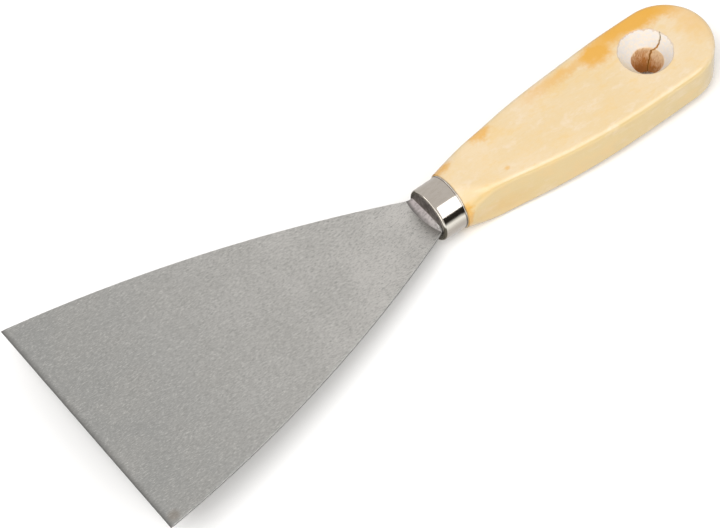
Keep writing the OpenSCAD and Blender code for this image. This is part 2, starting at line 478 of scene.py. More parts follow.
def make_handle():
    """The wooden grip: a closed skin with a round shoulder, flat faces, and a countersunk hole."""
    shell = Shell()
    across = 40
    rows = [grip_row(shell, s, across) for s in flank_stations()]
    shell.loft(rows, closed=True)
    close_front(shell, rows[0])
    columns = close_end(shell, rows[-1], across)
    pierce_face(shell, columns, across, upper=True)
    pierce_face(shell, columns, across, upper=False)

    obj = shell.piece("wooden_handle", 50)
    soften(obj)
    mark_crack(obj)
    # The grip is a little wider where it was sanded thinner, and its end has bowed
    for v in obj.data.vertices:
        s = rear_x - v.co.x
        v.co.y = v.co.y * (1 + SANDING_SPREAD * sanded(s)) - bow(s)
    return obj


def mark_crack(obj):
    """Marks the crack on the mesh, 1 on its line and 0 at the edge of its stain, for the material."""
    mesh = obj.data
    marks = mesh.attributes.new("crack", "FLOAT", "POINT")
    top = mid_z + half_t(hole_s)
    for v, mark in zip(mesh.vertices, marks.data):
        depth = top - v.co.z
        centre_s, centre_y = hole_centre(v.co.z - mid_z)
        x = v.co.x - (rear_x - centre_s)
        y = v.co.y - centre_y
        angle = math.atan2(y, x) % (2 * math.pi)
        inside = math.hypot(x, y) < SINK_R + 0.1 * MM
        offset = crack_offset(angle, max(depth, 0))
        mark.value = max(0.0, 1 - offset / CRACK_STAIN) if inside else 0.0


def soften(obj):
    """Slow waves of a sanded surface, away from the ferrule and the hole."""
    mesh = obj.data
    normals = [v.normal.copy() for v in mesh.vertices]
    hole_x = rear_x - hole_s
    for v, n in zip(mesh.vertices, normals):
        from_ferrule = rear_x - v.co.x - 1 * MM
        from_hole = math.hypot(v.co.x - hole_x, v.co.y) - SINK_R
        clear = ease(from_ferrule / (8 * MM)) * ease(from_hole / (4 * MM))
        wave = noise.noise(v.co * 70) + 0.4 * noise.noise(v.co * 210)
        v.co -= n * WAVE_DEPTH * clear * (1 + wave)


# ---------------------------------------------------------------- ferrule

def ferrule_circle(x, r, count):
    """Points round the ferrule's axis, from +Y."""
    return [Vector((x, r * math.cos(a), mid_z + r * math.sin(a)))
            for a in [2 * math.pi * i / count for i in range(count)]]


def slot_loop(x, count):
    """The slot in the ferrule's face: a superellipse, whose corners are slightly round."""
    half_width = NECK_W / 2 + SLOT_GAP
    half_height = NECK_T / 2 + SLOT_GAP
    power = 14
    loop = []
    for i in range(count):
        a = 2 * math.pi * i / count
        y, z = math.cos(a), math.sin(a)
        r = (abs(y / half_width) ** power + abs(z / half_height) ** power) ** (-1 / power)
        loop.append(Vector((x, y * r, mid_z + z * r)))
    return loop


def make_ferrule():
    """A cup drawn from thin sheet: slotted face, rounded corner, and a flared, rolled rear edge."""
    count = 256
    shell = Shell()

    def ring(x, r):
        return shell.row(ferrule_circle(x, r, count))

    # The face, whose slot has its edge turned in a little by the punch
    rings = [shell.row(slot_loop(face_x - SHEET_T, count))]
    slot = slot_loop(face_x, count)
    rim = ferrule_circle(face_x, FERRULE_R - FILLET, count)
    turned_in = 0.06
    for share in (0, 0.02, turned_in, 0.2, 0.4, 0.6, 0.8, 1):
        dip = Vector((SLOT_DIP * max(0, 1 - share / turned_in) ** 2, 0, 0))
        rings.append(shell.row([a.lerp(b, share) - dip for a, b in zip(slot, rim)]))

    # The outside, from the front corner to the bead
    corner_x = face_x - FILLET
    for a in turns(0, 90, 12)[1:]:
        rings.append(ring(corner_x + FILLET * math.cos(a), FERRULE_R - FILLET + FILLET * math.sin(a)))
    flare_x = rear_x + FLARE_LEN
    for x in spread(corner_x, flare_x, 8)[1:]:
        rings.append(ring(x, FERRULE_R))
    for x in spread(flare_x, rear_x + GROOVE_X, 8)[1:]:
        rings.append(ring(x, FERRULE_R + FLARE_RISE * ease((flare_x - x) / (1.3 * MM))))
    for a in turns(20, 200, 12):
        rings.append(ring(rear_x + BEAD_R + BEAD_R * math.cos(a),
                          FERRULE_R + LIP_RISE - BEAD_R + BEAD_R * math.sin(a)))

    # The inside, back to the face
    inner = FERRULE_R - SHEET_T
    small = FILLET - SHEET_T
    for x in spread(rear_x, corner_x, 4):
        rings.append(ring(x, inner))
    for a in turns(90, 0, 5)[1:]:
        rings.append(ring(corner_x + small * math.cos(a), inner - small + small * math.sin(a)))
    shell.loft(rings + [rings[0]], closed=True)
    return shell.piece("ferrule_cup", 60)


# ---------------------------------------------------------------- blade

# Each side of the leaf is one arc from the neck's corner to the working edge's
side_dy = blade_half_w - NECK_W / 2
side_chord = math.hypot(BLADE_LEN, side_dy)
side_drop = math.sqrt(SIDE_R**2 - side_chord**2 / 4)
side_cx = BLADE_LEN / 2 + side_drop * side_dy / side_chord
side_cy = NECK_W / 2 + side_dy / 2 - side_drop * BLADE_LEN / side_chord

# Distances back from the ferrule's face along the neck and the tang
rear_depth = face_x - rear_x
neck_back = SHEET_T * 2
taper_end = neck_back + (NECK_W - TANG_W) / 2
tang_end = rear_depth + TANG_LEN
barb_pitch = TANG_LEN / (BARBS + 1)
barb_starts = [rear_depth + i * barb_pitch for i in range(1, BARBS + 1)]


def blade_w(x):
    """Half width of the exposed blade."""
    return side_cy + math.sqrt(SIDE_R**2 - (x - side_cx) ** 2)


def leaf_h(x):
    """Half thickness of the leaf: a long taper, then the bevel, which rolls over smoothly."""
    bevel_x = BLADE_LEN - BEVEL_LEN
    if x < bevel_x:
        t = max(0, (x - FLEX_X) / (bevel_x - FLEX_X))
        return (LEAF_T + (TIP_T - LEAF_T) * t) / 2
    t = (x - bevel_x) / BEVEL_LEN
    return (TIP_T + (EDGE_T - TIP_T) * (0.35 * t + 0.65 * t * t)) / 2


def plunge_foot(y):
    """Where the hollow-ground plunge meets the leaf. The wheel ran out early on the +Y side."""
    reach = (y - PLUNGE_PEAK_Y) / (NECK_W / 2 - PLUNGE_PEAK_Y)
    return PLUNGE_LONG + (PLUNGE_SHORT - PLUNGE_LONG) * reach * reach


def blade_h(x, y):
    """Half thickness of the blade at a place on it."""
    foot = plunge_foot(min(y, NECK_W / 2))
    if x >= foot:
        return leaf_h(x)
    rise = NECK_T / 2 - leaf_h(x)
    u = 1 - max(x, 0) / foot
    return leaf_h(x) + rise * (0.4 * u + 0.6 * u * u)


def bent(x, y, z):
    """A point of the straight strip, bent up and put in the row frame."""
    dx = x - BEND_X
    if dx > 0:
        x, z = (BEND_X + dx * math.cos(SET_ANGLE) - z * math.sin(SET_ANGLE),
                z * math.cos(SET_ANGLE) + dx * math.sin(SET_ANGLE))
    return Vector((face_x + x, y, mid_z + z))


def tang_w(x):
    """Half width behind the ferrule's face: the neck, a taper, and the tang with its barbs."""
    back = -x
    if back <= neck_back:
        return NECK_W / 2
    if back <= taper_end:
        return NECK_W / 2 - (back - neck_back)
    width = TANG_W / 2 + (TANG_END_W - TANG_W) / 2 * (back - taper_end) / (tang_end - taper_end)
    for start in barb_starts:
        if start - BARB_LEN < back <= start:
            width -= BARB_DEPTH * (back - start + BARB_LEN) / BARB_LEN
    return width


def strip_stations():
    """Places of the strip's rows: tang, neck, plunge, leaf and bevel, closer where the shape turns."""
    tang = [-tang_end]
    for start in reversed(barb_starts):
        tang += [-start - 0.02 * MM, -start, -start + BARB_LEN / 2, -start + BARB_LEN]
    neck = [-taper_end, -neck_back, BEND_X - 0.05 * MM, BEND_X, BEND_X + 0.05 * MM]
    plunge_end = 4 * MM
    bevel_start = BLADE_LEN - 2 * BEVEL_LEN
    plunge = spread(0, plunge_end, 40)
    leaf = spread(plunge_end, bevel_start, 110)[1:]
    bevel = spread(bevel_start, BLADE_LEN, 16)[1:]
    return tang + neck + plunge + leaf + bevel


def strip_row(shell, x, shares):
    """One row round the strip, with its sheared edges broken: upper face, side, lower face, side."""
    w = blade_w(x) if x > 0 else tang_w(x)
    top = []
    for share in shares:
        h = blade_h(x, share * w) if x > 0 else NECK_T / 2
        from_edge = (1 - abs(share)) * w
        top.append((share * w, h - EDGE_BREAK * max(0.0, 1 - from_edge / (2 * EDGE_BREAK)) ** 2))
    h_side = top[-1][1]
    right = [(w, z) for z in spread(h_side, -h_side, 4)[1:-1]]
    ring = top + right + [(y, -h) for y, h in reversed(top)] + [(-y, -z) for y, z in right]
    return shell.row([bent(x, y, z) for y, z in ring])


def close_strip(shell, row, n):
    """Closes an end of the strip, whose row has n points along each face."""
    side = len(row) // 2 - n
    upper = row[:n]
    lower = list(reversed(row[n + side:2 * n + side]))
    for i in range(n - 1):
        shell.faces.append((upper[i], upper[i + 1], lower[i + 1], lower[i]))
    shell.faces.append((upper[-1], *row[n:n + side], lower[-1]))
    shell.faces.append((lower[0], *row[2 * n + side:], upper[0]))


def make_blade():
    """One strip of spring steel: barbed tang, thick neck, hollow-ground plunge, tapered leaf, bevel."""
    shell = Shell()
    shares = [math.sin(a) for a in turns(-90, 90, 64)]
    rows = [strip_row(shell, x, shares) for x in strip_stations()]
    shell.loft(rows, closed=True)
    close_strip(shell, rows[0], len(shares))
    close_strip(shell, rows[-1], len(shares))
    return shell.piece("spring_steel_blade", 35)


# ---------------------------------------------------------------- colours

WOOD_PALE = (0.705, 0.560, 0.362)
WOOD_DEEP = (0.678, 0.520, 0.297)
WOOD_FLANK_SHADE = (0.625, 0.466, 0.192)
WOOD_CREAM = (0.730, 0.612, 0.470)
WOOD_GOLD = (0.695, 0.490, 0.215)
WOOD_FIBRE = (0.560, 0.400, 0.190)
AMBER = (0.670, 0.335, 0.025)
RAW_WHITE = (0.650, 0.620, 0.600)
RAW_CREAM = (0.690, 0.570, 0.400)
RAW_TAN = (0.735, 0.640, 0.520)
RIM_GREY = (0.430, 0.370, 0.380)
BORE_LIGHT = (0.880, 0.670, 0.430)
BORE_SHADE = (0.480, 0.200, 0.050)
CRACK_OLIVE = (0.330, 0.250, 0.110)
CRACK_AMBER = (0.520, 0.270, 0.060)
CRACK_DARK = (0.220, 0.160, 0.070)
CRACK_BROWN = (0.420, 0.180, 0.035)

STEEL_TIP = (0.475, 0.482, 0.475)
STEEL_NECK = (0.790, 0.775, 0.750)
STEEL_CLOUD = (0.540, 0.538, 0.520)
SCRATCH_LIGHT = (0.810, 0.808, 0.785)
SCRATCH_DARK = (0.375, 0.378, 0.366)
PLUNGE_ROSE = (0.720, 0.650, 0.650)
PLUNGE_BRIGHT = (0.830, 0.775, 0.765)
PLUNGE_SMEAR_AND_SHADE = (0.130, 0.125, 0.120)
BEVEL_AND_SIDE_SHADE = (0.190, 0.190, 0.185)
CORNER_BROWN = (0.300, 0.240, 0.180)

NICKEL = (0.630, 0.580, 0.520)
NICKEL_LIGHT = (0.665, 0.615, 0.560)
TARNISH = (0.350, 0.320, 0.280)
NICKEL_SHADE_DARK = (0.130, 0.112, 0.102)
NICKEL_SHADE_GREY = (0.250, 0.228, 0.212)

PAPER_DEEP = (0.93, 0.93, 0.93)
PAPER_PALE = (0.95, 0.95, 0.95)

STUDIO_GREY = (0.70, 0.683, 0.665)
STUDIO_CREAM = (1.30, 1.33, 1.30)
STUDIO_WHITE = (2.6, 2.6, 2.5)
STUDIO_BELOW = (0.17, 0.165, 0.14)
STUDIO_FLAG = (0.028, 0.024, 0.020)


# ---------------------------------------------------------------- materials

class Nodes:
    """Shorthand for building a node tree."""

    def __init__(self, tree):
        self.tree = tree

    def link(self, value, socket):
        """Links a socket to the input, or sets it to a plain value."""
        if isinstance(value, bpy.types.NodeSocket):
            self.tree.links.new(value, socket)
        else:
            socket.default_value = value

    def vector(self, operation, a, b=None, scale=None):
        node = self.tree.nodes.new("ShaderNodeVectorMath")
        node.operation = operation
        self.link(a, node.inputs[0])
        if b is not None:
            self.link(b, node.inputs[1])
        if scale is not None:
            self.link(scale, node.inputs["Scale"])
        return node.outputs["Value" if operation == "LENGTH" else "Vector"]

    def math(self, operation, a, b=0.0):
        node = self.tree.nodes.new("ShaderNodeMath")
        node.operation = operation
        self.link(a, node.inputs[0])
        self.link(b, node.inputs[1])
        return node.outputs[0]

    def fit(self, value, low, high, to_low=0.0, to_high=1.0, smooth=True):
        """value from low..high to to_low..to_high, held at the ends."""
        node = self.tree.nodes.new("ShaderNodeMapRange")
        node.interpolation_type = "SMOOTHSTEP" if smooth else "LINEAR"
        for socket, number in zip(node.inputs[1:5], (low, high, to_low, to_high)):
            socket.default_value = number
        self.link(value, node.inputs[0])
        return node.outputs[0]

    def noise(self, place, scale, detail=3.0, roughness=0.5, stretch=None, distortion=0.0):
        """Noise, 0 to 1. A stretch below 1 on an axis draws it out along that axis."""
        if stretch:
            place = self.vector("MULTIPLY", place, stretch)
        node = self.tree.nodes.new("ShaderNodeTexNoise")
        self.link(place, node.inputs["Vector"])
        node.inputs["Scale"].default_value = scale
        node.inputs["Detail"].default_value = detail
        node.inputs["Roughness"].default_value = roughness
        node.inputs["Distortion"].default_value = distortion
        return node.outputs["Fac"]

    def wander(self, place, scale, detail, reach):
        """A random vector, up to half of reach each way."""
        node = self.tree.nodes.new("ShaderNodeTexNoise")
        self.link(place, node.inputs["Vector"])
        node.inputs["Scale"].default_value = scale
        node.inputs["Detail"].default_value = detail
        centred = self.vector("SUBTRACT", node.outputs["Color"], (0.5, 0.5, 0.5))
        return self.vector("SCALE", centred, scale=reach)

    def mix(self, share, a, b):
        node = self.tree.nodes.new("ShaderNodeMix")
        node.data_type = "RGBA"
        self.link(share, node.inputs["Factor"])
        for value, socket in ((a, node.inputs[6]), (b, node.inputs[7])):
            self.link(value if isinstance(value, bpy.types.NodeSocket) else (*value, 1), socket)
        return node.outputs[2]

    def band(self, value, centre, near, far):
        """1 where value is within near of centre, falling to 0 at far."""
        away = self.math("ABSOLUTE", self.math("SUBTRACT", value, centre))
        return self.fit(away, near, far, 1, 0)

    def blob(self, place, centre, radii, turn, soft):
        """1 inside an ellipsoid turned by that many degrees, falling to 0 past its edge."""
        node = self.tree.nodes.new("ShaderNodeMapping")
        node.vector_type = "TEXTURE"
        self.link(place, node.inputs["Vector"])
        node.inputs["Location"].default_value = centre
        node.inputs["Rotation"].default_value = (0, 0, math.radians(turn))
        node.inputs["Scale"].default_value = radii
        return self.fit(self.vector("LENGTH", node.outputs[0]), 1 - soft, 1 + soft, 1, 0)

    def split(self, place):
        node = self.tree.nodes.new("ShaderNodeSeparateXYZ")
        self.link(place, node.inputs[0])
        return node.outputs

    def join(self, x, y, z):
        node = self.tree.nodes.new("ShaderNodeCombineXYZ")
        for value, socket in zip((x, y, z), node.inputs):
            self.link(value, socket)
        return node.outputs[0]

    def bump(self, height, distance, strength):
        node = self.tree.nodes.new("ShaderNodeBump")
        node.inputs["Strength"].default_value = strength
        node.inputs["Distance"].default_value = distance
        self.link(height, node.inputs["Height"])
        return node.outputs[0]


class Paint(Nodes):
    """A procedural material. Its place is the row frame's, in millimetres."""

    def __init__(self, name):
        self.material = bpy.data.materials.new(name)
        self.material.use_nodes = True
        super().__init__(self.material.node_tree)
        self.shader = self.tree.nodes["Principled BSDF"]
        coords = self.tree.nodes.new("ShaderNodeTexCoord")
        self.place = self.vector("SCALE", coords.outputs["Object"], scale=1000)

    def normal(self):
        """The surface normal's X, Y and Z."""
        return self.split(self.tree.nodes.new("ShaderNodeNewGeometry").outputs["Normal"])

    def attribute(self, name):
        node = self.tree.nodes.new("ShaderNodeAttribute")
        node.attribute_name = name
        return node.outputs["Fac"]

    def set(self, **values):
        """Links or sets inputs of the shader, named with _ for each space."""
        for name, value in values.items():
            socket = self.shader.inputs[name.replace("_", " ")]
            if isinstance(value, tuple) and len(value) == 3:
                value = (*value, 1)
            self.link(value, socket)


def grip_place(s, y, z):
    """A place on the handle in millimetres, as the materials count it. z is from the mid-plane."""
    return (rear_x / MM - s, y, mid_z / MM + z)


def wood_material():
    """Pale close-grained wood under clear lacquer, with amber stains where the lacquer has soaked in."""
    p = Paint("lacquered_wood")
    loose = p.vector("ADD", p.place, p.wander(p.place, 0.25, 2, 5.0))
    loose = p.vector("ADD", loose, p.wander(p.place, 1.3, 3, 2.2))

    cloud = p.noise(p.place, 0.10, 2, 0.5, (0.6, 1, 1))
    mottle = p.noise(p.place, 0.20, 4, 0.62, (0.6, 1, 1))
    fleck = p.noise(p.place, 1.3, 4, 0.65, (0.55, 1, 1))
    fibre = p.noise(p.place, 3.2, 3, 0.6, (0.06, 1, 1), 0.2)
    flank = p.fit(p.math("ABSOLUTE", p.normal()["Y"]), 0.55, 0.95)
    colour = p.mix(p.fit(cloud, 0.35, 0.66), WOOD_DEEP, WOOD_PALE)
    # Painted shade: the side faces, picked by their normal, get a darker, deeper flank colour
    colour = p.mix(p.math("MULTIPLY", flank, 0.75), colour, WOOD_FLANK_SHADE)
    colour = p.mix(p.fit(mottle, 0.48, 0.72, 0.0, 0.75), colour, WOOD_GOLD)
    cream = p.math("MULTIPLY", p.fit(mottle, 0.26, 0.50, 0.8, 0.0),
                   p.fit(flank, 0, 1, 1, 0.4, False))
    colour = p.mix(cream, colour, WOOD_CREAM)
    colour = p.mix(p.fit(fleck, 0.50, 0.75, 0.0, 0.28), colour, WOOD_GOLD)
    colour = p.mix(p.fit(fibre, 0.55, 0.80, 0.0, 0.22), colour, WOOD_FIBRE)

    # Amber stains: a long one beside the hole, others down the same edge, behind the ferrule and on the
    # butt, and one small speck, which keeps its shape
    for s, y, z, radii, turn, soft, share in (
        (76, -13.0, 6, (13, 4.6, 7), -6, 0.45, 0.95),
        (61.5, -10.0, 6, (5.2, 3.8, 6), 10, 0.5, 0.92),
        (53, -10.8, 6, (7, 1.7, 6), 4, 0.6, 0.42),
        (86, -11.0, 5, (6, 3.5, 6), -32, 0.5, 0.60),
        (43, -10.5, 6, (8, 2.2, 6), 3, 0.7, 0.42),
        (17, -8.2, 7, (4.0, 2.2, 5), 6, 0.5, 0.75),
        (1.5, -6.5, 5, (3.0, 2.6, 5), 0, 0.5, 0.85),
        (0.6, 8.3, 1, (1.3, 2.0, 5), 0, 0.5, 0.75),
        (91, -2, 6.5, (5, 7, 5), 0, 0.7, 0.30),
        (10, 10.5, -2, (9, 2.5, 3), 0, 0.8, 0.25),
        (16.2, 5.9, 7.5, (0.8, 0.6, 2), 0, 0.6, 0.55),
    ):
        mask = p.blob(loose if radii[0] > 1 else p.place, grip_place(s, y, z), radii, turn, soft)
        colour = p.mix(p.math("MULTIPLY", mask, share), colour, AMBER)

    # The hole's own axis, which leans as the mesh does
    x, y, z = p.split(p.place)
    depth = p.math("SUBTRACT", (mid_z + half_t(hole_s)) / MM, z)
    sink_depth = SINK_DEPTH / MM
    bottom = 2 * half_t(hole_s) / MM
    shift = bow(hole_s) / MM
    lean_x = p.fit(depth, sink_depth, bottom, 0, BORE_LEAN_X / MM)
    lean_y = p.fit(depth, sink_depth, bottom, 0, BORE_LEAN_Y / MM)
    lean_y = p.math("ADD", lean_y, p.fit(depth, 0, sink_depth, SINK_LEAN / MM - shift, -shift))
    off_x = p.math("SUBTRACT", p.math("SUBTRACT", x, (rear_x - hole_s) / MM), lean_x)
    off_y = p.math("SUBTRACT", y, lean_y)
    radius = p.vector("LENGTH", p.join(off_x, off_y, 0.0))

    # Bare wood in the hole: pale on the countersink, brown in the bore, grey where the lacquer stops
    ragged = p.math("ADD", radius, p.fit(p.noise(p.place, 0.8, 2, 0.5), 0, 1, -0.45, 0.45, False))
    upper = p.fit(depth, 4.0, 6.0, 1, 0)
    sink = p.math("MULTIPLY", p.fit(ragged, SINK_R / MM - 0.25, SINK_R / MM, 1, 0), upper)
    bore = p.math("MULTIPLY", p.fit(depth, sink_depth - 0.30, sink_depth + 0.20),
                  p.fit(radius, hole_r / MM + 0.9, hole_r / MM + 1.3, 1, 0))
    raw = p.mix(p.fit(p.noise(p.place, 0.9, 4, 0.6, (1, 1, 2.2)), 0.35, 0.7), RAW_WHITE, RAW_TAN)
    near = p.math("ADD", p.math("MULTIPLY", off_x, 0.75), p.math("MULTIPLY", off_y, 0.65))
    raw = p.mix(p.fit(near, 2.0, 6.0, 0.0, 0.8), raw, RAW_CREAM)
    # Painted shade: the bore darkens as it goes down the hole; it is also darker on the side towards the
    # handle's middle
    streak = p.noise(p.place, 1.6, 3, 0.6, (1, 1, 0.35))
    butt_side = p.math("SUBTRACT", p.math("MULTIPLY", off_y, 0.5), off_x)
    light = p.math("ADD", p.fit(depth, sink_depth, 11, 0.65, -0.1, False),
                   p.fit(streak, 0.3, 0.7, -0.3, 0.3, False))
    light = p.math("ADD", light, p.fit(butt_side, -1, 5, 0.0, 0.4))
    brown = p.mix(p.fit(light, 0, 1), BORE_SHADE, BORE_LIGHT)
    rim = p.math("MULTIPLY", p.band(ragged, SINK_R / MM, 0.05, 0.28), upper)
    bare = p.math("MAXIMUM", sink, bore)
    colour = p.mix(sink, colour, raw)
    colour = p.mix(p.math("MULTIPLY", rim, 0.45), colour, RIM_GREY)
    colour = p.mix(bore, colour, brown)

    # The crack: dark on its line, with an olive stain beside it that turns amber in the bore
    crack = p.attribute("crack")
    stain = p.mix(p.fit(depth, 1.2, 3.6), CRACK_OLIVE, CRACK_AMBER)
    stain_share = p.math("MULTIPLY", p.fit(crack, 0.15, 0.8), p.fit(depth, 0.8, 3.4, 0.35, 0.9))
    colour = p.mix(stain_share, colour, stain)
    line = p.mix(p.fit(depth, 1.0, 3.0), CRACK_DARK, CRACK_BROWN)
    colour = p.mix(p.fit(crack, 0.62, 0.86, 0.0, 0.85), colour, line)

    # Pores drawn out along the grain, and the lacquer's orange peel. Bare wood is dull and uncoated
    pores = p.noise(p.place, 5.5, 2, 0.5, (0.10, 1, 1))
    peel = p.noise(p.place, 0.9, 2)
    height = p.math("ADD", p.fit(pores, 0.55, 0.75, 0, -1), p.math("MULTIPLY", peel, 0.8))
    rough = p.fit(mottle, 0.3, 0.7, 0.40, 0.50, False)
    p.set(
        Base_Color=colour,
        Roughness=p.math("ADD", rough, p.math("MULTIPLY", bare, 0.35)),
        Coat_Weight=p.fit(bare, 0, 1, 1.0, 0.0, False),
        Normal=p.bump(height, 0.03 * MM, 0.6),
    )
    p.shader.inputs["Coat Roughness"].default_value = 0.09
    p.shader.inputs["Coat IOR"].default_value = 1.55
    p.shader.inputs["Specular IOR Level"].default_value = 0.35
    return p.material


def steel_material():
    """Spring steel, ground along its length: short random scratches over a satin grey."""
    p = Paint("ground_spring_steel")
    scratch = p.noise(p.place, 3.4, 5, 0.78, (0.27, 1.0, 1.0), 0.5)
    hair = p.noise(p.place, 8.0, 3, 0.6, (0.10, 1.0, 1.0))
    cloud = p.noise(p.place, 0.07, 3, 0.5)
    x, y, _ = p.split(p.place)
    steepness = p.math("ABSOLUTE", p.normal()["Z"])
    from_face = p.math("SUBTRACT", x, face_x / MM)

    # Brighter and warmer towards the neck, where the strip is thicker
    neckward = p.fit(from_face, 5, 105, 1, 0, False)
    colour = p.mix(neckward, STEEL_TIP, STEEL_NECK)
    colour = p.mix(p.fit(cloud, 0.35, 0.65, 0.0, 0.5), colour, STEEL_CLOUD)
    # Scratches, a little weaker towards the working edge
    strength = p.fit(from_face, 20, 100, 1.0, 0.76)
    light = p.math("MULTIPLY", p.fit(scratch, 0.50, 0.66), strength)
    deep = p.math("MULTIPLY", p.fit(scratch, 0.34, 0.50, 1.0, 0.0), strength)
    colour = p.mix(light, colour, SCRATCH_LIGHT)
    colour = p.mix(deep, colour, SCRATCH_DARK)
    colour = p.mix(p.fit(hair, 0.55, 0.78, 0.0, 0.35, False), colour, SCRATCH_DARK)

    # The hollow plunge: painted shade along its foot, most on the -Y side, then a rosy polished face up
    # to the neck, painted brighter towards +Y, with random smears
    peak = PLUNGE_PEAK_Y / MM
    reach = p.math("DIVIDE", p.math("SUBTRACT", y, peak), NECK_W / 2 / MM - peak)
    fall = p.math("MULTIPLY", p.math("MULTIPLY", reach, reach), (PLUNGE_SHORT - PLUNGE_LONG) / MM)
    foot = p.math("ADD", fall, PLUNGE_LONG / MM)
    up = p.math("SUBTRACT", foot, from_face)
    inside = p.fit(up, -0.10, 0.12)
    face_up = p.fit(steepness, 0.25, 0.45)
    shade = p.math("MULTIPLY", p.fit(up, 0.2, 1.5, 1, 0), p.fit(y, -4.0, 6.0, 1.0, 0.2))
    plunge = p.mix(p.fit(y, -5, 6), PLUNGE_ROSE, PLUNGE_BRIGHT)
    smear = p.fit(p.noise(p.place, 1.1, 3, 0.6, (0.5, 1, 1)), 0.42, 0.68, 0.0, 0.45)
    plunge = p.mix(smear, plunge, PLUNGE_SMEAR_AND_SHADE)
    plunge = p.mix(p.math("MULTIPLY", shade, 0.85), plunge, PLUNGE_SMEAR_AND_SHADE)
    colour = p.mix(p.math("MULTIPLY", p.math("MULTIPLY", inside, face_up), 0.9), colour, plunge)

    # Painted shade: the bevel along the working edge and the sheared sides are painted darker, for the
    # dark reflections they show. One corner is stained
    tip = BLADE_LEN / MM * math.cos(SET_ANGLE)
    ragged_edge_band = p.math("ADD", from_face, p.fit(p.noise(p.place, 0.35, 3), 0, 1, -0.7, 0.7, False))
    colour = p.mix(p.fit(ragged_edge_band, tip - 2.0, tip - 0.3, 0.0, 0.50), colour, BEVEL_AND_SIDE_SHADE)
    colour = p.mix(p.fit(from_face, tip - 0.60, tip - 0.15, 0.0, 0.60), colour, BEVEL_AND_SIDE_SHADE)
    colour = p.mix(p.fit(steepness, 0.45, 0.89, 0.9, 0.0), colour, BEVEL_AND_SIDE_SHADE)
    end = bent(BLADE_LEN, 0, 0) / MM
    stain_at = (end.x - 2.8 * math.cos(SET_ANGLE), blade_half_w / MM - 2.6, end.z)
    corner = p.blob(p.place, stain_at, (1.7, 1.4, 4), 20, 0.6)
    colour = p.mix(p.math("MULTIPLY", corner, 0.42), colour, CORNER_BROWN)
    rough = p.math("ADD", p.fit(scratch, 0.3, 0.7, 0.42, 0.32, False), p.math("MULTIPLY", inside, -0.06))
    height = p.math("ADD", scratch, p.math("MULTIPLY", hair, 0.5))
    p.set(Base_Color=colour, Roughness=rough, Normal=p.bump(height, 0.03 * MM, 0.8))
    p.shader.inputs["Metallic"].default_value = 1.0
    return p.material


def nickel_material():
    """Bright nickel plate with faint draw lines and specks, with painted shade on the face round the
    slot and in two dark lines.
    """
    p = Paint("nickel_plate")
    ripple = p.noise(p.place, 0.8, 2, 0.5, (0.35, 1, 1))
    lines = p.noise(p.place, 7.0, 2, 0.5, (0.12, 1, 1))
    specks = p.noise(p.place, 3.0, 4, 0.7)
    x, y, z = p.split(p.place)
    radius = p.vector("LENGTH", p.join(0.0, y, p.math("SUBTRACT", z, mid_z / MM)))
    colour = p.mix(p.fit(ripple, 0.35, 0.65), NICKEL, NICKEL_LIGHT)
    colour = p.mix(p.fit(specks, 0.62, 0.74, 0, 0.4), colour, TARNISH)
    face = face_x / MM
    face_r = (FERRULE_R - FILLET) / MM
    # Painted shade: the face round the slot is painted dark grey with streaks, for the dark reflections
    # it shows
    on_face = p.math("MULTIPLY", p.fit(x, face - 0.30, face - 0.06),
                     p.fit(radius, face_r, face_r + 0.35, 1, 0))
    face_shade = p.mix(p.fit(p.noise(p.place, 0.9, 4, 0.6), 0.35, 0.65), NICKEL_SHADE_DARK, NICKEL_SHADE_GREY)
    colour = p.mix(on_face, colour, face_shade)
    # Painted shade: a dark line where the sheet was turned over, and a dark line in the groove beside
    # the bead
    turn = (FERRULE_R - 0.55 * FILLET) / MM
    crease = p.math("MULTIPLY", p.band(radius, turn, 0.04, 0.14), p.fit(x, face - 1.2, face - 0.9))
    colour = p.mix(p.math("MULTIPLY", crease, 0.7), colour, NICKEL_SHADE_DARK)
    groove = p.band(x, rear_x / MM + 0.62, 0.05, 0.18)
    colour = p.mix(p.math("MULTIPLY", groove, 0.65), colour, NICKEL_SHADE_DARK)
    rough = p.math("ADD", p.fit(lines, 0.3, 0.7, 0.07, 0.13, False), p.math("MULTIPLY", on_face, 0.38))
    height = p.math("ADD", ripple, p.math("MULTIPLY", lines, 0.08))
    p.set(Base_Color=colour, Roughness=rough, Normal=p.bump(height, 0.02 * MM, 0.5))
    p.shader.inputs["Metallic"].default_value = 1.0
    return p.material


def floor_material():
    """Matt white paper."""
    p = Paint("white_paper")
    tone = p.noise(p.place, 0.01, 2)
    p.set(Base_Color=p.mix(tone, PAPER_DEEP, PAPER_PALE))
    p.shader.inputs["Roughness"].default_value = 0.9
    p.shader.inputs["Specular IOR Level"].default_value = 0.1
    return p.material


# ---------------------------------------------------------------- stage, light and camera

def toward(azimuth, elevation):
    """Unit vector from the object towards a place at that azimuth from +X and elevation."""
    a, e = math.radians(azimuth), math.radians(elevation)
    return Vector((math.cos(a) * math.cos(e), math.sin(a) * math.cos(e), math.sin(e)))


def placed(location, right, back):
    """The matrix of a light or camera at that place, whose +X is right and whose +Z is back."""
    turned = Matrix((right, back.cross(right), back)).transposed()
    return Matrix.Translation(location) @ turned.to_4x4()


def add_softbox(name, direction, distance, width, height, radiance, up=(0, 0, 1)):
    """A rectangular area light that faces the object, given by the brightness of its face."""
    data = bpy.data.lights.new(name, "AREA")
    data.shape = "RECTANGLE"
    data.size, data.size_y = width, height
    data.energy = radiance * math.pi * width * height
    light = bpy.data.objects.new(name, data)
    light.visible_camera = False
    bpy.context.scene.collection.objects.link(light)
    back = direction.normalized()
    right = Vector(up).cross(back).normalized()
    light.matrix_world = placed(direction * distance, right, back)
    return light


